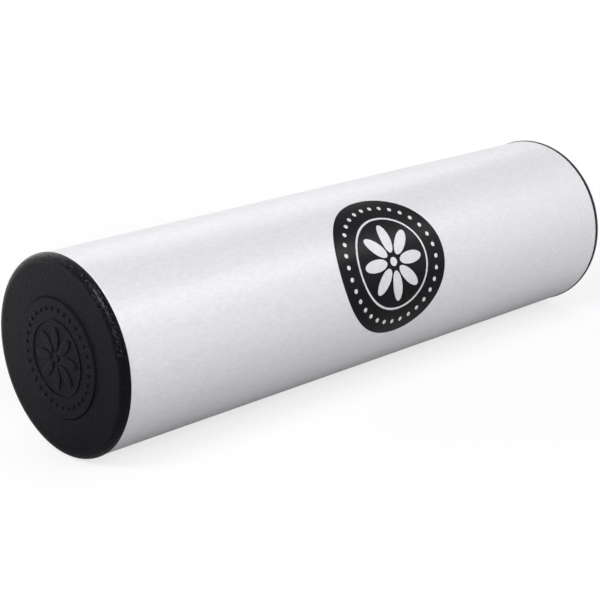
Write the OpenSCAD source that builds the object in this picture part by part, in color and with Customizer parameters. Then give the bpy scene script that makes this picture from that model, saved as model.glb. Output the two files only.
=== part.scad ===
// Ganza: a tube shaker with a moulded cap in each end and loose steel shot inside.
// It lies on its side. X runs along the tube, Z is up, and the origin is on the floor
// under the middle of the tube. The front, where the badge is printed, faces -Y.

/* [Tube] */
// Outside diameter of the tube
tube_d = 60; // [50:1:72]
// Length of the tube without its caps
tube_len = 213.4; // [150:0.2:300]
// Wall thickness of the tube
tube_wall = 1.2; // [0.8:0.1:2]
// Chamfer on the cut edges of the tube
tube_chamfer = 0.25; // [0.1:0.05:0.35]

/* [Cap rim and face] */
// How far the rim of a cap stands outside the tube
rim_proud = 0.2; // [0.05:0.05:0.5]
// Thickness of a cap outside the tube
rim_thick = 2.6; // [2.4:0.1:5]
// Radius of the rounded edge between the rim and the face
rim_round = 2.4; // [0.8:0.1:3.2]
// Diameter of the raised disc on the face
disc_d = 36; // [24:1:44]
// Height of the raised disc above the face
disc_height = 0.45; // [0.2:0.05:1]
// Width of the slope round the raised disc
disc_slope = 0.3; // [0.1:0.05:0.6]

/* [Cap plug] */
// Depth of the plug inside the tube
plug_depth = 14; // [8:0.5:20]
// Wall thickness of the plug
plug_wall = 1.8; // [1.2:0.1:2.6]
// Gap between the plug and the tube
plug_gap = 0.35; // [0.2:0.05:0.6]
// Size of the slope that leads the plug into the tube
plug_lead = 0.8; // [0.4:0.1:1]
// Radius of the fillet between the plug and the floor of the cap
plug_fillet = 1.2; // [0.6:0.1:2]
// Thickness of the floor of the cap
floor_thick = 2.2; // [1.6:0.1:3.4]
// Number of grip ribs round the plug
rib_count = 12; // [6:1:24]
// Width of a grip rib
rib_w = 1.6; // [0.8:0.1:2.4]
// Gap between a grip rib and the tube
rib_gap = 0.05; // [0.02:0.01:0.15]

/* [Shot] */
// Diameter of one steel ball
ball_d = 4.5; // [3:0.25:6]
// Gap between a ball and its neighbours and the tube
ball_gap = 0.3; // [0.1:0.05:0.5]
// Rows of balls on each side of the lowest row
rows_each_side = 3; // [1:1:4]
// Share of the tube that the loose rows fill while they lie in the middle
heap_share = 0.55; // [0.3:0.05:0.8]

/* [Hidden] */
// Smoothness of the round shapes
round_fn = 96;
ball_fn = 24;

// Tube
tube_r = tube_d / 2;
bore_r = tube_r - tube_wall;

// Cap
rim_r = tube_r + rim_proud;
// Least height of the straight part of the rim, which limits its rounded edge
rim_land = 0.1;
edge_round = min(rim_round, rim_thick - rim_land);
face_r = rim_r - edge_round;
disc_r = disc_d / 2;
plug_r = bore_r - plug_gap;
cup_r = plug_r - plug_wall;
rib_r = bore_r - rib_gap;
// Depth to which a rib is rooted in the plug wall
rib_root = plug_wall / 2;
// The floor of the cup, measured outwards from the end of the tube
cup_floor = rim_thick - floor_thick;
axis_height = rim_r;

// Rows of balls: the lower rows lie on the wall, and the upper rows lie in the grooves
// between them, each row at least one ball and one gap from the next, so rows can pass
row_space = ball_d + ball_gap;
low_r = bore_r - ball_gap - ball_d / 2;
row_angle = 2 * asin(row_space / 2 / low_r);
high_r = low_r * cos(row_angle / 2) - row_space * cos(30);
// Neighbouring upper rows are staggered by half a pitch, which sets the pitch
high_space = 2 * high_r * sin(row_angle / 2);
pitch = max(row_space, 2 * sqrt(pow(row_space, 2) - pow(high_space, 2)));
chamber_len = tube_len - 2 * plug_depth;
keel_count = floor((chamber_len - 2 * ball_gap - ball_d) / pitch) + 1;
loose_count = floor(heap_share * keel_count);

// Turns a shape made round Z so that it lies along X on the axis of the tube
module lie_down() {
    translate([0, 0, axis_height]) rotate([0, 90, 0]) children();
}

// A quarter ring to cut away, which leaves a chamfer on the edge at radius r
module chamfer_profile(r, towards) {
    polygon([[r, 0], [r + towards * tube_chamfer, 0], [r, tube_chamfer]]);
}

module tube_profile() {
    difference() {
        translate([bore_r, 0]) square([tube_wall, tube_len]);
        for (end = [0, 1]) {
            translate([0, end * tube_len]) mirror([0, end]) {
                chamfer_profile(bore_r, 1);
                chamfer_profile(tube_r, -1);
            }
        }
    }
}

module tube() {
    color([0.84, 0.85, 0.87])
        lie_down()
            translate([0, 0, -tube_len / 2])
                rotate_extrude($fn = round_fn) tube_profile();
}

// The solid outline of a cap, from the open end of its plug to its raised disc
module cap_outline() {
    // Rim, with its rounded edge
    square([rim_r, rim_thick - edge_round]);
    square([face_r, rim_thick]);
    translate([face_r, rim_thick - edge_round]) intersection() {
        circle(r = edge_round, $fn = round_fn);
        square(edge_round);
    }
    // Raised disc on the face
    polygon([
        [0, 0], [disc_r, 0], [disc_r, rim_thick],
        [disc_r - disc_slope, rim_thick + disc_height], [0, rim_thick + disc_height]
    ]);
    // Plug, with its slope at the open end
    polygon([
        [0, 0], [plug_r, 0], [plug_r, plug_lead - plug_depth],
        [plug_r - plug_lead, -plug_depth], [0, -plug_depth]
    ]);
}

// The hollow of the plug, closed by the floor of the cap with a fillet round it
module cup_profile() {
    translate([0, -plug_depth]) square([cup_r, plug_depth + cup_floor - plug_fillet]);
    translate([0, -plug_depth]) square([cup_r - plug_fillet, plug_depth + cup_floor]);
    translate([cup_r - plug_fillet, cup_floor - plug_fillet]) intersection() {
        circle(r = plug_fillet, $fn = round_fn);
        square(plug_fillet);
    }
}

// Ribs along the plug that hold it tight in the tube
module grip_ribs() {
    rib_len = plug_depth - 2 * plug_lead;
    intersection() {
        translate([0, 0, plug_lead - plug_depth]) cylinder(r = rib_r, h = rib_len + plug_lead, $fn = round_fn);
        for (i = [0 : rib_count - 1]) {
            rotate([0, 0, 360 * i / rib_count])
                translate([plug_r - rib_root, -rib_w / 2, plug_lead - plug_depth])
                    cube([rib_root + plug_gap, rib_w, rib_len]);
        }
    }
}

// One cap, standing on Z with its plug downwards and the end of the tube at zero
module cap() {
    rotate_extrude($fn = round_fn) difference() {
        cap_outline();
        cup_profile();
    }
    grip_ribs();
}

module right_cap() {
    color([0.14, 0.14, 0.15])
        lie_down() translate([0, 0, tube_len / 2]) cap();
}

module left_cap() {
    color([0.14, 0.14, 0.15])
        lie_down() mirror([0, 0, 1]) translate([0, 0, tube_len / 2]) cap();
}

// A row of balls along the tube, turned by an angle from the lowest line of the bore
module ball_row(count, radius, angle, shift) {
    translate([shift - (count - 1) * pitch / 2, 0, axis_height])
        rotate([angle, 0, 0])
            for (i = [0 : count - 1]) translate([i * pitch, 0, -radius]) sphere(d = ball_d, $fn = ball_fn);
}

// Half a pitch forwards or backwards on every other row
function stagger(k) = (k % 2 == 0 ? 1 : -1) * pitch / 4;

// The lower rows on one side of the lowest row
module side_rows(side) {
    for (k = [1 : rows_each_side]) ball_row(loose_count, low_r, side * k * row_angle, stagger(k));
}

module shot_keel() {
    color([0.62, 0.63, 0.65]) ball_row(keel_count, low_r, 0, 0);
}

module shot_front() {
    color([0.62, 0.63, 0.65]) side_rows(-1);
}

module shot_back() {
    color([0.62, 0.63, 0.65]) side_rows(1);
}

// The upper rows, in the grooves between the lower ones
module shot_top() {
    color([0.62, 0.63, 0.65])
        for (k = [1 : 2 * rows_each_side])
            ball_row(loose_count, high_r, (k - rows_each_side - 1 / 2) * row_angle, stagger(k));
}

tube();
left_cap();
right_cap();
shot_keel();
shot_front();
shot_back();
shot_top();
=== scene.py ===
"""Looks of a ganza, a tube shaker: lacquered tube, printed badge, moulded caps and steel shot."""

import math

import bmesh
import bpy
from bpy.props import FloatProperty, FloatVectorProperty, IntProperty, PointerProperty
from bpy.types import Operator, Panel, PropertyGroup
from mathutils import Matrix, Quaternion, Vector


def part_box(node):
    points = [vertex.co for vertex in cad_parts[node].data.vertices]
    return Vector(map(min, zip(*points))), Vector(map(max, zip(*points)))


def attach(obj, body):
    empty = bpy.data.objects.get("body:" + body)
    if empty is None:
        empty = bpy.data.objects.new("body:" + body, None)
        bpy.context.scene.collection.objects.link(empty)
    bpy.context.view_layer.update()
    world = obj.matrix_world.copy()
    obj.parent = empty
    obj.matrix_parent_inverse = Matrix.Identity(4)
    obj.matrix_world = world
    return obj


bl_info = {
    "name": "Ganza shaker",
    "version": (1, 0, 0),
    "blender": (4, 5, 0),
    "location": "3D View > Sidebar > Ganza",
    "description": "Dresses a tube shaker with its lacquer, badge, cap reliefs and shot",
    "category": "Add Mesh",
}

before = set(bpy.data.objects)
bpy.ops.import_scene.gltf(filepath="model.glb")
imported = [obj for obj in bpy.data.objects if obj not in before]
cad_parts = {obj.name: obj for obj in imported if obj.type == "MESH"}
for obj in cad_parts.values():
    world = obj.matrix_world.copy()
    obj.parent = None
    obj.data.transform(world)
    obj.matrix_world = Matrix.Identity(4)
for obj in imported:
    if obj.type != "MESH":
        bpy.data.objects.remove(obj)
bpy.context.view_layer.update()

TUBE_LOW, TUBE_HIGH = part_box("tube")
TUBE_RADIUS = TUBE_HIGH.y
TUBE_HALF = TUBE_HIGH.x
AXIS_HEIGHT = (TUBE_LOW.z + TUBE_HIGH.z) / 2
CAP_END = -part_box("left_cap")[0].x

MM = 0.001
SHELL = "shell"

# The parts of the rosette, as shares of the radius of its ring of dots
HUB_RADIUS = 0.075
PETAL_MIDDLE = 0.4
PETAL_HALF_LENGTH = 0.25
PETAL_HALF_WIDTH = 0.105
RING_INNER = 0.755
RING_OUTER = 0.79
DOT_RADIUS = 0.038

# How the printed films and the reliefs sit on the part
ROSETTE_SHARE = 0.83
FIELD_LIFT = 0.01 * MM
ROSETTE_LIFT = 0.012 * MM
RELIEF_SINK = 0.02 * MM

# Angles between faces from which an edge is sharp, and from which a relief's edge is softened
SHARP_ANGLE = math.radians(50)
SOFTENED_ANGLE = math.radians(45)

BARE_METAL = (0.92, 0.92, 0.93, 1.0)
DARK_STEEL = (0.5, 0.5, 0.51, 1.0)
BRIGHT_STEEL = (0.66, 0.67, 0.68, 1.0)
WHITE = (1.0, 1.0, 1.0, 1.0)
FLOOR_GREY = (0.33, 0.33, 0.33, 1.0)

# Distances from the tube's axis between which the grain of a cap turns coarse
EDGE_START = TUBE_RADIUS - 3.0 * MM
EDGE_END = TUBE_RADIUS - 1.4 * MM
# Where the slope of a cap's raised disc turns matt and where it stops being so, from its foot
SLOPE_START = (-0.5 * MM, -0.3 * MM)
SLOPE_END = (0.0, 0.2 * MM)
# The range that most of a grain's or a cloud's tone lies in
TONE_RANGE = (0.3, 0.7)

FLOOR_HALF = 6.0
# How the floor glows near the shaker and far from it, and the distances between which that changes
GLOW_NEAR, GLOW_FAR = 0.705, 1.0
GLOW_START, GLOW_END = 0.2, 1.4
# Distances from the line under the tube's axis between which the floor comes out of its painted
# shadow, which only gloss sees
SHADE_START, SHADE_END = 10 * MM, 60 * MM
# Distances from the shaker's middle, towards the dim side, between which the floor turns dim for
# gloss: painted shade
DIM_FLOOR = (-70 * MM, 50 * MM)
# Cosines of the angle to each dim place in the air between which the air turns dim
DIM_AIR = (0.1, 0.7)
CEILING_AIR = (0.55, 0.8)
FLAG_AIR = (0.55, 0.85)

# Each softbox: its name, place, width and height, power in watts and roll, whether diffuse light
# sees it, and whether gloss does
SOFTBOXES = (
    ("back_softbox", (0.67, 0.73, 0.42), (0.75, 0.75), 0.2, 0.0, True, True),
    ("high_softbox", (0.62, 0.58, 0.655), (0.5, 0.5), 0.72, 0.0, True, True),
    ("front_softbox", (0.63, -0.59, 0.73), (0.36, 0.36), 0.68, 0.0, True, True),
    ("left_softbox", (-0.79, -0.22, 0.79), (0.5, 0.3), 5.1, 0.0, True, False),
    ("edge_softbox", (-0.73, -0.25, 0.81), (0.6, 0.16), 12.0, math.radians(-39), False, True),
    ("fill_softbox", (-0.1, -1.1, 0.6), (1.8, 0.9), 12.0, 0.0, True, False),
    ("rim_softbox", (0.065, 1.09, 0.34), (0.45, 0.35), 1.1, 0.0, False, True),
    ("behind_softbox", (0.1, 1.15, 0.4), (1.6, 0.7), 8.0, 0.0, True, False),
)


class TubeFinish(PropertyGroup):
    """The lacquer of the tube"""

    light_tone: FloatVectorProperty(
        name="Light tone", description="Colour of the lacquer where it is lightest",
        subtype="COLOR", size=3, min=0, max=1, default=(0.817, 0.819, 0.849))
    dark_tone: FloatVectorProperty(
        name="Dark tone", description="Colour of the lacquer where it is darkest",
        subtype="COLOR", size=3, min=0, max=1, default=(0.755, 0.757, 0.79))
    grain: FloatProperty(
        name="Grain", description="Size of the grain of the lacquer",
        subtype="DISTANCE", unit="LENGTH", default=1.1 * MM)
    bare_edge: FloatProperty(
        name="Bare edge", description="Width of the bare metal at each cut end of the tube",
        subtype="DISTANCE", unit="LENGTH", default=0.3 * MM)


class BadgePrint(PropertyGroup):
    """The round badge printed on the front of the tube"""

    radius: FloatProperty(
        name="Radius", description="Radius of the black field",
        subtype="DISTANCE", unit="LENGTH", default=23.6 * MM)
    turn: FloatProperty(
        name="Turn", description="Angle from the top of the tube to the middle of the badge",
        subtype="ANGLE", unit="ROTATION", default=math.radians(67))
    shift: FloatProperty(
        name="Shift", description="Distance of the badge from the middle of the tube",
        subtype="DISTANCE", unit="LENGTH", default=0.4 * MM)
    film: FloatProperty(
        name="Film", description="Thickness of the printed film",
        subtype="DISTANCE", unit="LENGTH", default=0.04 * MM)
    petals: IntProperty(name="Petals", description="Petals of the rosette", min=3, default=8)
    dots: IntProperty(name="Dots", description="Dots in the ring", min=6, default=32)
    ink: FloatVectorProperty(
        name="Ink", description="Colour of the black field",
        subtype="COLOR", size=3, min=0, max=1, default=(0.0035, 0.0037, 0.0048))


class CapMoulding(PropertyGroup):
    """The moulded black caps"""

    plastic: FloatVectorProperty(
        name="Plastic", description="Colour of the moulded plastic",
        subtype="COLOR", size=3, min=0, max=1, default=(0.0034, 0.0032, 0.0062))
    disc_radius: FloatProperty(
        name="Disc radius",
        description="Radius at the foot of the raised disc, whose slope is matt",
        subtype="DISTANCE", unit="LENGTH", default=18 * MM)
    relief_height: FloatProperty(
        name="Relief height", description="Height of the relief above the raised disc",
        subtype="DISTANCE", unit="LENGTH", default=0.28 * MM)
    relief_radius: FloatProperty(
        name="Relief radius", description="Radius of the ring of dots in the relief",
        subtype="DISTANCE", unit="LENGTH", default=14.6 * MM)
    face_grain: FloatProperty(
        name="Face grain", description="Size of the fine grain on the face",
        subtype="DISTANCE", unit="LENGTH", default=0.6 * MM)
    edge_grain: FloatProperty(
        name="Edge grain", description="Size of the coarse grain on the rounded edge",
        subtype="DISTANCE", unit="LENGTH", default=0.7 * MM)


class StudioStage(PropertyGroup):
    """Floor, lights and camera"""

    camera_place: FloatVectorProperty(
        name="Camera place", description="Where the camera stands",
        subtype="TRANSLATION", unit="LENGTH", size=3, default=(-0.33944, -0.33604, 0.17817))
    camera_turn: FloatProperty(
        name="Camera turn", description="Turn of the camera to the right of straight ahead",
        subtype="ANGLE", unit="ROTATION", default=math.radians(44.083))
    camera_dip: FloatProperty(
        name="Camera dip", description="Angle by which the camera looks down",
        subtype="ANGLE", unit="ROTATION", default=math.radians(18.027))
    lens: FloatProperty(
        name="Lens", description="Focal length on a frame 36 mm wide",
        subtype="DISTANCE_CAMERA", default=90.74)
    ambient: FloatProperty(
        name="Ambient", description="Strength of the light from all round", min=0, default=0.2)
    dim_side: FloatVectorProperty(
        name="Dim side", description="Direction of the side of the studio that gloss finds dim",
        subtype="DIRECTION", size=3, default=(-0.4, -0.9, 0.2))
    flag_side: FloatVectorProperty(
        name="Flag side",
        description="Direction of the dark flag beside the left cap that gloss finds",
        subtype="DIRECTION", size=3, default=(-0.85, 0.35, 0.35))
    dim_share: FloatProperty(
        name="Dim share", description="Share of white that gloss mirrors from the dim side",
        min=0, max=1, default=0.03)


def make_node(tree, kind, inputs=None, **settings):
    """Adds a node, sets its own properties, and fills or links its inputs by name."""
    node = tree.nodes.new(kind)
    for name, value in settings.items():
        setattr(node, name, value)
    for name, value in (inputs or {}).items():
        if isinstance(value, bpy.types.NodeSocket):
            tree.links.new(value, node.inputs[name])
        else:
            node.inputs[name].default_value = value
    return node


def make_math(tree, operation, first, second=None, third=None):
    """A maths node's result."""
    inputs = {i: value for i, value in enumerate((first, second, third)) if value is not None}
    return make_node(tree, "ShaderNodeMath", inputs, operation=operation).outputs[0]


def start_group(name, inputs, outputs):
    """A new shader group with its sockets: the group, its input node and its output node."""
    group = bpy.data.node_groups.new(name, "ShaderNodeTree")
    for label, kind, default in inputs:
        socket = group.interface.new_socket(name=label, in_out="INPUT", socket_type=kind)
        if default is not None:
            socket.default_value = default
    for label, kind in outputs:
        group.interface.new_socket(name=label, in_out="OUTPUT", socket_type=kind)
    return group, group.nodes.new("NodeGroupInput"), group.nodes.new("NodeGroupOutput")


def fine_grain():
    """Shared effect: a fine even grain, as a tone and as a height."""
    name = "Fine grain"
    if name in bpy.data.node_groups:
        return bpy.data.node_groups[name]
    group, given, result = start_group(
        name,
        [("Vector", "NodeSocketVector", None), ("Size", "NodeSocketFloat", 0.5 * MM)],
        [("Tone", "NodeSocketFloat"), ("Height", "NodeSocketFloat")])
    scale = make_math(group, "DIVIDE", 1.0, given.outputs["Size"])
    noise = make_node(group, "ShaderNodeTexNoise", {
        "Vector": given.outputs["Vector"], "Scale": scale, "Detail": 2.0, "Roughness": 0.6})
    specks = make_node(group, "ShaderNodeTexVoronoi", {
        "Vector": given.outputs["Vector"], "Scale": make_math(group, "MULTIPLY", scale, 1.6)})
    spread = make_node(group, "ShaderNodeSeparateColor", {"Color": specks.outputs["Color"]})
    tone = make_math(group, "MULTIPLY_ADD", spread.outputs[0], 0.35,
                     make_math(group, "MULTIPLY", noise.outputs["Fac"], 0.65))
    group.links.new(tone, result.inputs["Tone"])
    group.links.new(noise.outputs["Fac"], result.inputs["Height"])
    return group


def moulded_grain():
    """Shared effect: the pebbled grain of a textured mould, as a height."""
    name = "Moulded grain"
    if name in bpy.data.node_groups:
        return bpy.data.node_groups[name]
    group, given, result = start_group(
        name,
        [("Vector", "NodeSocketVector", None), ("Size", "NodeSocketFloat", MM)],
        [("Height", "NodeSocketFloat")])
    scale = make_math(group, "DIVIDE", 1.0, given.outputs["Size"])
    drift = make_node(group, "ShaderNodeTexNoise", {
        "Vector": given.outputs["Vector"], "Scale": scale, "Detail": 2.0})
    bent = make_node(group, "ShaderNodeVectorMath", {
        0: drift.outputs["Color"], 1: (0.5 * MM,) * 3, 2: given.outputs["Vector"]},
        operation="MULTIPLY_ADD")
    cells = make_node(group, "ShaderNodeTexVoronoi", {
        "Vector": bent.outputs[0], "Scale": scale}, feature="DISTANCE_TO_EDGE")
    pebble = make_node(group, "ShaderNodeMapRange", {
        "Value": cells.outputs["Distance"], "From Max": 0.28}, interpolation_type="SMOOTHSTEP")
    group.links.new(pebble.outputs[0], result.inputs["Height"])
    return group


def slow_cloud():
    """Shared effect: a wide soft mottle, such as handling and dust leave."""
    name = "Slow cloud"
    if name in bpy.data.node_groups:
        return bpy.data.node_groups[name]
    group, given, result = start_group(
        name,
        [("Vector", "NodeSocketVector", None), ("Size", "NodeSocketFloat", 20 * MM)],
        [("Tone", "NodeSocketFloat")])
    noise = make_node(group, "ShaderNodeTexNoise", {
        "Vector": given.outputs["Vector"], "Detail": 4.0, "Roughness": 0.55,
        "Scale": make_math(group, "DIVIDE", 1.0, given.outputs["Size"])})
    group.links.new(noise.outputs["Fac"], result.inputs["Tone"])
    return group


def axis_band():
    """Shared effect: a mask that rises from a start to an end distance from the tube's axis."""
    name = "Axis band"
    if name in bpy.data.node_groups:
        return bpy.data.node_groups[name]
    group, given, result = start_group(
        name,
        [("Vector", "NodeSocketVector", None), ("Start", "NodeSocketFloat", 26 * MM),
         ("End", "NodeSocketFloat", 28 * MM)],
        [("Mask", "NodeSocketFloat")])
    from_axis = make_node(group, "ShaderNodeVectorMath", {
        0: given.outputs["Vector"], 1: (0, 0, -AXIS_HEIGHT)}, operation="ADD")
    across = make_node(group, "ShaderNodeVectorMath", {
        0: from_axis.outputs[0], 1: (0, 1, 1)}, operation="MULTIPLY")
    distance = make_node(group, "ShaderNodeVectorMath", {0: across.outputs[0]}, operation="LENGTH")
    mask = make_node(group, "ShaderNodeMapRange", {
        "Value": distance.outputs["Value"], "From Min": given.outputs["Start"],
        "From Max": given.outputs["End"]}, interpolation_type="SMOOTHSTEP")
    group.links.new(mask.outputs[0], result.inputs["Mask"])
    return group


def use_group(tree, group, **inputs):
    """Places a group in a material, with its inputs filled by name."""
    return make_node(tree, "ShaderNodeGroup", node_tree=group, inputs={
        name.replace("_", " ").capitalize(): value for name, value in inputs.items()})


def start_material(name):
    """A new material: its node tree, its Principled shader and its Object coordinates."""
    material = bpy.data.materials.new(name)
    material.use_nodes = True
    tree = material.node_tree
    shader = tree.nodes["Principled BSDF"]
    place = tree.nodes.new("ShaderNodeTexCoord").outputs["Object"]
    return material, tree, shader, place


def mix_colors(tree, factor, first, second):
    """A colour between two others."""
    node = make_node(tree, "ShaderNodeMix", data_type="RGBA")
    # Sockets 0, 6 and 7 are the factor and the two colours
    for place, value in ((0, factor), (6, first), (7, second)):
        socket = node.inputs[place]
        if isinstance(value, bpy.types.NodeSocket):
            tree.links.new(value, socket)
        else:
            socket.default_value = value
    return node.outputs[2]


def map_value(tree, value, low, high, from_low=0.0, from_high=1.0):
    """A value carried from one range to another."""
    return make_node(tree, "ShaderNodeMapRange", {
        "Value": value, "From Min": from_low, "From Max": from_high,
        "To Min": low, "To Max": high}).outputs[0]


def link_bump(tree, shader, height, strength, distance):
    """Gives a shader a bump from a height."""
    bump = make_node(tree, "ShaderNodeBump", {
        "Height": height, "Strength": strength, "Distance": distance})
    tree.links.new(bump.outputs[0], shader.inputs["Normal"])


def opaque(color):
    """A colour with its alpha."""
    return (*color, 1.0)


def tube_lacquer(finish):
    """Satin silver lacquer with a fine grain, and bare metal on the cut ends."""
    material, tree, shader, place = start_material("Silver lacquer")
    # The grain is longer along the tube than round it
    drawn = make_node(tree, "ShaderNodeVectorMath", {
        0: place, 1: (0.5, 1, 1)}, operation="MULTIPLY")
    grain = use_group(tree, fine_grain(), vector=drawn.outputs[0], size=finish.grain)
    cloud = use_group(tree, slow_cloud(), vector=place, size=30 * MM)
    tone = make_math(tree, "MULTIPLY_ADD", grain.outputs["Tone"], 0.8,
                     make_math(tree, "MULTIPLY", cloud.outputs["Tone"], 0.2))
    lacquer = mix_colors(tree, map_value(tree, tone, 0.0, 1.0, *TONE_RANGE),
                         opaque(finish.dark_tone), opaque(finish.light_tone))
    along = make_node(tree, "ShaderNodeSeparateXYZ", {"Vector": place}).outputs["X"]
    bare = map_value(tree, make_math(tree, "ABSOLUTE", along), 0.0, 1.0,
                     TUBE_HALF - finish.bare_edge, TUBE_HALF - finish.bare_edge / 2)
    tree.links.new(mix_colors(tree, bare, lacquer, BARE_METAL), shader.inputs["Base Color"])
    satin = map_value(tree, grain.outputs["Tone"], 0.36, 0.3, *TONE_RANGE)
    tree.links.new(make_math(tree, "MULTIPLY_ADD", bare, -0.15, satin), shader.inputs["Roughness"])
    tree.links.new(map_value(tree, bare, 0.1, 1.0), shader.inputs["Metallic"])
    shader.inputs["Specular IOR Level"].default_value = 0.3
    link_bump(tree, shader, grain.outputs["Height"], 0.2, 0.05 * MM)
    return material


def badge_ink(badge):
    """Black printing ink with a faint mottle."""
    material, tree, shader, place = start_material("Badge ink")
    grain = use_group(tree, fine_grain(), vector=place, size=0.3 * MM)
    lighter = tuple(1.6 * c for c in badge.ink)
    tone = map_value(tree, grain.outputs["Tone"], 0.0, 1.0, *TONE_RANGE)
    ink = mix_colors(tree, tone, opaque(badge.ink), opaque(lighter))
    tree.links.new(ink, shader.inputs["Base Color"])
    tree.links.new(map_value(tree, grain.outputs["Tone"], 0.2, 0.27), shader.inputs["Roughness"])
    shader.inputs["Specular IOR Level"].default_value = 0.21
    link_bump(tree, shader, grain.outputs["Height"], 0.15, 0.02 * MM)
    return material


def badge_silver(finish):
    """The silver of the badge's rosette, as pale as the lacquer round it."""
    material, tree, shader, place = start_material("Badge silver")
    grain = use_group(tree, fine_grain(), vector=place, size=finish.grain)
    tone = map_value(tree, grain.outputs["Tone"], 0.0, 1.0, *TONE_RANGE)
    silver = mix_colors(tree, tone, opaque(finish.dark_tone), opaque(finish.light_tone))
    tree.links.new(silver, shader.inputs["Base Color"])
    tree.links.new(map_value(tree, grain.outputs["Tone"], 0.5, 0.4), shader.inputs["Roughness"])
    shader.inputs["Metallic"].default_value = 0.25
    link_bump(tree, shader, grain.outputs["Height"], 0.15, 0.02 * MM)
    return material


def cap_plastic(moulding):
    """Black moulded plastic: a fine grain on the face, a coarse pebbled one on the rounded edge,
    and a matt slope round the raised disc."""
    material, tree, shader, place = start_material("Cap plastic")
    fine = use_group(tree, fine_grain(), vector=place, size=moulding.face_grain)
    coarse = use_group(tree, moulded_grain(), vector=place, size=moulding.edge_grain)
    cloud = use_group(tree, slow_cloud(), vector=place, size=12 * MM)
    edge = use_group(tree, axis_band(), vector=place,
                     start=EDGE_START, end=EDGE_END).outputs["Mask"]
    lighter = tuple(1.5 * c for c in moulding.plastic)
    both = make_math(tree, "ADD", fine.outputs["Tone"], cloud.outputs["Tone"])
    tone = map_value(tree, both, 0.0, 1.0, *(2 * end for end in TONE_RANGE))
    tree.links.new(mix_colors(tree, tone, opaque(moulding.plastic), opaque(lighter)),
                   shader.inputs["Base Color"])
    slope, beyond = (
        use_group(tree, axis_band(), vector=place, start=moulding.disc_radius + start,
                  end=moulding.disc_radius + end).outputs["Mask"]
        for start, end in (SLOPE_START, SLOPE_END))
    slope = make_math(tree, "SUBTRACT", slope, beyond)
    matt = map_value(tree, fine.outputs["Tone"], 0.42, 0.52, *TONE_RANGE)
    matt = make_math(tree, "MULTIPLY_ADD", slope, 0.4, matt)
    tree.links.new(make_math(tree, "MULTIPLY_ADD", edge, -0.3, matt), shader.inputs["Roughness"])
    shader.inputs["Specular IOR Level"].default_value = 0.15
    share_of_coarse = map_value(tree, edge, 0.3, 1.5)
    share_of_fine = map_value(tree, edge, 3.4, 1.0)
    height = make_math(tree, "MULTIPLY_ADD", coarse.outputs["Height"], share_of_coarse,
                       make_math(tree, "MULTIPLY", fine.outputs["Height"], share_of_fine))
    link_bump(tree, shader, height, 0.8, 0.06 * MM)
    return material


def shot_steel():
    """Bright rolled steel with a little tarnish."""
    material, tree, shader, place = start_material("Shot steel")
    grain = use_group(tree, fine_grain(), vector=place, size=0.8 * MM)
    cloud = use_group(tree, slow_cloud(), vector=place, size=5 * MM)
    steel = mix_colors(tree, cloud.outputs["Tone"], DARK_STEEL, BRIGHT_STEEL)
    tree.links.new(steel, shader.inputs["Base Color"])
    tree.links.new(map_value(tree, grain.outputs["Tone"], 0.18, 0.34), shader.inputs["Roughness"])
    shader.inputs["Metallic"].default_value = 1.0
    link_bump(tree, shader, grain.outputs["Height"], 0.1, 0.02 * MM)
    return material


def dress_node(name, material):
    """Gives a node of the frame its material."""
    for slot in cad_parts[name].material_slots:
        slot.material = material


def spin_disc(bm, radius, rings, segments, start=0.0):
    """Adds a disc or a ring in the XY plane by spinning a radial line. Returns its vertices."""
    steps = [start + (radius - start) * i / rings for i in range(rings + 1)]
    line = [bm.verts.new((step, 0, 0)) for step in steps]
    edges = [bm.edges.new(pair) for pair in zip(line, line[1:])]
    before = set(bm.verts) - set(line)
    bmesh.ops.spin(bm, geom=line + edges, cent=(0, 0, 0), axis=(0, 0, 1), dvec=(0, 0, 0),
                   angle=math.tau, steps=segments, use_merge=True, use_duplicate=False)
    made = [v for v in bm.verts if v not in before]
    bmesh.ops.remove_doubles(bm, verts=made, dist=0.001 * MM)
    return [v for v in bm.verts if v not in before]


def place_verts(bm, verts, matrix):
    """Moves vertices by a matrix."""
    bmesh.ops.transform(bm, matrix=matrix, verts=verts)


def draw_rosette(bm, petals, dots, size, rings, segments):
    """Draws the rosette flat in the XY plane: petals round a ring, in a ring of dots."""
    spin_disc(bm, HUB_RADIUS * size, 2, segments)
    for i in range(petals):
        turn = Matrix.Rotation(math.tau * i / petals, 4, "Z")
        petal = spin_disc(bm, 1.0, rings, segments)
        shape = Matrix.Diagonal((PETAL_HALF_LENGTH * size, PETAL_HALF_WIDTH * size, 1, 1))
        place_verts(bm, petal, turn @ Matrix.Translation((PETAL_MIDDLE * size, 0, 0)) @ shape)
    spin_disc(bm, RING_OUTER * size, 1, 4 * segments, start=RING_INNER * size)
    for i in range(dots):
        turn = Matrix.Rotation(math.tau * (i + 0.5) / dots, 4, "Z")
        dot = spin_disc(bm, DOT_RADIUS * size, 1, max(12, segments // 2))
        place_verts(bm, dot, turn @ Matrix.Translation((size, 0, 0)))


def wrap_round_tube(bm, badge, lift):
    """Wraps a drawing round the tube: X stays along it, Y goes round it, and Z leads outwards."""
    for v in bm.verts:
        angle = badge.turn - v.co.y / TUBE_RADIUS
        reach = TUBE_RADIUS + lift + v.co.z
        v.co = Vector((v.co.x + badge.shift, -reach * math.sin(angle),
                       AXIS_HEIGHT + reach * math.cos(angle)))


def finish_piece(bm, name, material):
    """Makes a bmesh a piece of the shell, at the origin, smooth, with its faces outwards."""
    bmesh.ops.recalc_face_normals(bm, faces=bm.faces)
    for face in bm.faces:
        face.smooth = True
    for edge in bm.edges:
        edge.smooth = edge.calc_face_angle(0) < SHARP_ANGLE
    mesh = bpy.data.meshes.new(name)
    bm.to_mesh(mesh)
    bm.free()
    mesh.materials.append(material)
    piece = bpy.data.objects.new(name, mesh)
    bpy.context.scene.collection.objects.link(piece)
    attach(piece, SHELL)
    return piece


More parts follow.
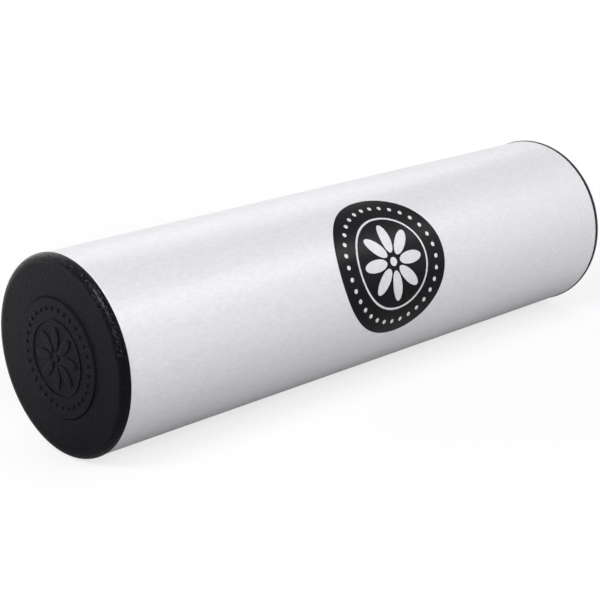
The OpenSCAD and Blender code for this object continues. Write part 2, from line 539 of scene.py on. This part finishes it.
def raise_sheet(bm, height):
    """Raises a flat drawing by a height, and returns the vertices of its top."""
    raised = bmesh.ops.extrude_face_region(bm, geom=bm.faces[:])["geom"]
    top = [v for v in raised if isinstance(v, bmesh.types.BMVert)]
    bmesh.ops.translate(bm, vec=(0, 0, height), verts=top)
    return top


def raise_relief(bm, height, bevel):
    """Raises a flat drawing into a relief with soft top edges."""
    top = raise_sheet(bm, height)
    bm.normal_update()
    on_top = set(top)
    rim = [e for e in bm.edges
           if all(v in on_top for v in e.verts) and e.calc_face_angle(0) > SOFTENED_ANGLE]
    bmesh.ops.bevel(bm, geom=rim, offset=bevel, segments=2, profile=0.5, affect="EDGES",
                    material=-1)


class GANZA_OT_tube(Operator):
    """Gives the tube its silver lacquer"""

    bl_idname = "ganza.tube"
    bl_label = "Lacquer the tube"

    def execute(self, context):
        dress_node("tube", tube_lacquer(context.scene.ganza_tube))
        return {"FINISHED"}


class GANZA_OT_badge(Operator):
    """Prints the round badge on the front of the tube"""

    bl_idname = "ganza.badge"
    bl_label = "Print the badge"

    def execute(self, context):
        badge = context.scene.ganza_badge
        field = bmesh.new()
        spin_disc(field, badge.radius, rings=24, segments=160)
        raise_sheet(field, badge.film)
        wrap_round_tube(field, badge, FIELD_LIFT)
        finish_piece(field, "badge_field", badge_ink(badge))
        motif = bmesh.new()
        draw_rosette(motif, badge.petals, badge.dots, ROSETTE_SHARE * badge.radius,
                     rings=6, segments=40)
        raise_sheet(motif, badge.film / 2)
        wrap_round_tube(motif, badge, badge.film + ROSETTE_LIFT)
        silver = badge_silver(context.scene.ganza_tube)
        finish_piece(motif, "badge_rosette", silver)
        return {"FINISHED"}


class GANZA_OT_caps(Operator):
    """Gives the caps their moulded plastic and the relief on their raised discs"""

    bl_idname = "ganza.caps"
    bl_label = "Dress the caps"

    def execute(self, context):
        badge, moulding = context.scene.ganza_badge, context.scene.ganza_caps
        plastic = cap_plastic(moulding)
        for side, node, name in ((-1, "left_cap", "left_relief"), (1, "right_cap", "right_relief")):
            dress_node(node, plastic)
            relief = bmesh.new()
            draw_rosette(relief, badge.petals, badge.dots, moulding.relief_radius,
                         rings=3, segments=32)
            raise_relief(relief, moulding.relief_height, moulding.relief_height / 3)
            face = Matrix.Translation((side * (CAP_END - RELIEF_SINK), 0, AXIS_HEIGHT))
            outwards = Matrix.Rotation(side * math.pi / 2, 4, "Y")
            place_verts(relief, relief.verts, face @ outwards)
            finish_piece(relief, name, plastic)
        return {"FINISHED"}


class GANZA_OT_shot(Operator):
    """Gives the loose shot its steel"""

    bl_idname = "ganza.shot"
    bl_label = "Polish the shot"

    def execute(self, context):
        steel = shot_steel()
        for name in ("shot_keel", "shot_front", "shot_back", "shot_top"):
            dress_node(name, steel)
        return {"FINISHED"}


def studio_white(tree, stage, others, dim):
    """The white of the studio: full for rays that come from the camera, or by way of gloss or
    glass, and a share for others. Where the mask is 1, gloss finds it dim."""
    rays = tree.nodes.new("ShaderNodeLightPath").outputs
    seen = make_math(tree, "MAXIMUM", rays["Is Camera Ray"], rays["Is Glossy Ray"])
    seen = make_math(tree, "MAXIMUM", seen, rays["Is Transmission Ray"])
    dim = make_math(tree, "MULTIPLY", dim, rays["Is Glossy Ray"])
    return make_math(tree, "MULTIPLY", map_value(tree, seen, others, 1.0),
                     map_value(tree, dim, 1.0, stage.dim_share))


def mask_towards(tree, direction, vector, start, end):
    """A mask that rises as a place or a direction leads towards a given direction."""
    along = make_node(tree, "ShaderNodeVectorMath", {
        0: vector, 1: Vector(direction).normalized()}, operation="DOT_PRODUCT")
    return map_value(tree, along.outputs["Value"], 0.0, 1.0, start, end)


def build_floor(stage):
    """A wide pale floor that looks white and keeps the soft shadow of the shaker."""
    bm = bmesh.new()
    bmesh.ops.create_grid(bm, x_segments=8, y_segments=8, size=FLOOR_HALF)
    mesh = bpy.data.meshes.new("floor")
    bm.to_mesh(mesh)
    bm.free()
    floor = bpy.data.objects.new("floor", mesh)
    bpy.context.scene.collection.objects.link(floor)
    material, tree, shader, spot = start_material("Floor")
    shader.inputs["Base Color"].default_value = FLOOR_GREY
    shader.inputs["Roughness"].default_value = 1.0
    shader.inputs["Specular IOR Level"].default_value = 0.0
    shader.inputs["Emission Color"].default_value = WHITE
    # Painted shadow: gloss finds the floor's glow dimmed close round the shaker
    apart = make_node(tree, "ShaderNodeVectorMath", {0: spot}, operation="ABSOLUTE")
    apart = make_node(tree, "ShaderNodeVectorMath", {
        0: apart.outputs[0], 1: (TUBE_HALF, 0, 0)}, operation="SUBTRACT")
    apart = make_node(tree, "ShaderNodeVectorMath", {
        0: apart.outputs[0], 1: (0, 0, 0)}, operation="MAXIMUM")
    apart = make_node(tree, "ShaderNodeVectorMath", {0: apart.outputs[0]}, operation="LENGTH")
    painted_shadow = map_value(tree, apart.outputs["Value"], 1.0, 0.0, SHADE_START, SHADE_END)
    # Painted shade: gloss finds the floor's glow dim towards the dim side
    painted_shade_aside = mask_towards(tree, stage.dim_side, spot, *DIM_FLOOR)
    dim = make_math(tree, "MAXIMUM", painted_shadow, painted_shade_aside)
    seen = studio_white(tree, stage, 0.0, dim)
    # Far out, where the lamps don't reach, the floor glows as white as the backdrop
    far = make_node(tree, "ShaderNodeVectorMath", {0: spot}, operation="LENGTH")
    glow = map_value(tree, far.outputs["Value"], GLOW_NEAR, GLOW_FAR, GLOW_START, GLOW_END)
    tree.links.new(make_math(tree, "MULTIPLY", seen, glow), shader.inputs["Emission Strength"])
    mesh.materials.append(material)


def build_world(stage):
    """White behind the shaker, a softer light from all round, and dim places for gloss."""
    world = bpy.data.worlds.new("Studio")
    world.use_nodes = True
    tree = world.node_tree
    background = tree.nodes["Background"]
    background.inputs["Color"].default_value = WHITE
    look = tree.nodes.new("ShaderNodeTexCoord").outputs["Generated"]
    ceiling = mask_towards(tree, (0, 0, 1), look, *CEILING_AIR)
    flag = mask_towards(tree, stage.flag_side, look, *FLAG_AIR)
    dim = make_math(tree, "MAXIMUM", ceiling, mask_towards(tree, stage.dim_side, look, *DIM_AIR))
    dim = make_math(tree, "MAXIMUM", dim, flag)
    tree.links.new(studio_white(tree, stage, stage.ambient, dim), background.inputs["Strength"])
    bpy.context.scene.world = world


def hang_softbox(name, place, size, power, roll, diffuse, gloss):
    """A softbox that looks at the middle of the shaker. Diffuse light or gloss may not see it."""
    lamp = bpy.data.lights.new(name, "AREA")
    lamp.shape = "RECTANGLE"
    lamp.size, lamp.size_y = size
    lamp.energy = power
    box = bpy.data.objects.new(name, lamp)
    bpy.context.scene.collection.objects.link(box)
    box.location = place
    box.visible_diffuse, box.visible_glossy = diffuse, gloss
    aim = Vector((0, 0, AXIS_HEIGHT)) - Vector(place)
    box.rotation_euler = (aim.to_track_quat("-Z", "Y") @ Quaternion((0, 0, 1), roll)).to_euler()


def place_camera(stage):
    """The camera at the photograph's place and angle."""
    data = bpy.data.cameras.new("camera")
    data.lens = stage.lens
    data.clip_start = 0.01
    camera = bpy.data.objects.new("camera", data)
    bpy.context.scene.collection.objects.link(camera)
    camera.location = stage.camera_place
    camera.rotation_euler = (math.pi / 2 - stage.camera_dip, 0, -stage.camera_turn)
    bpy.context.scene.camera = camera


class GANZA_OT_stage(Operator):
    """Sets up the floor, the lights and the camera"""

    bl_idname = "ganza.stage"
    bl_label = "Set the stage"

    def execute(self, context):
        stage = context.scene.ganza_stage
        place_camera(stage)
        build_floor(stage)
        build_world(stage)
        for softbox in SOFTBOXES:
            hang_softbox(*softbox)
        context.scene.view_settings.view_transform = "Standard"
        return {"FINISHED"}


class GANZA_PT_sidebar(Panel):
    """The steps, in order"""

    bl_idname = "GANZA_PT_sidebar"
    bl_label = "Ganza shaker"
    bl_space_type = "VIEW_3D"
    bl_region_type = "UI"
    bl_category = "Ganza"

    def draw(self, context):
        for operator in OPERATORS:
            self.layout.operator(operator.bl_idname)


OPERATORS = (GANZA_OT_stage, GANZA_OT_tube, GANZA_OT_badge, GANZA_OT_caps, GANZA_OT_shot)
SETTINGS = {
    "ganza_tube": TubeFinish,
    "ganza_badge": BadgePrint,
    "ganza_caps": CapMoulding,
    "ganza_stage": StudioStage,
}


def register():
    for cls in (*SETTINGS.values(), *OPERATORS, GANZA_PT_sidebar):
        bpy.utils.register_class(cls)
    for name, cls in SETTINGS.items():
        setattr(bpy.types.Scene, name, PointerProperty(type=cls))


def unregister():
    for name in SETTINGS:
        delattr(bpy.types.Scene, name)
    for cls in (GANZA_PT_sidebar, *OPERATORS, *SETTINGS.values()):
        bpy.utils.unregister_class(cls)


def main():
    """Builds everything in order."""
    register()
    bpy.ops.ganza.stage()
    bpy.ops.ganza.tube()
    bpy.ops.ganza.badge()
    bpy.ops.ganza.caps()
    bpy.ops.ganza.shot()


if __name__ == "__main__":
    main()
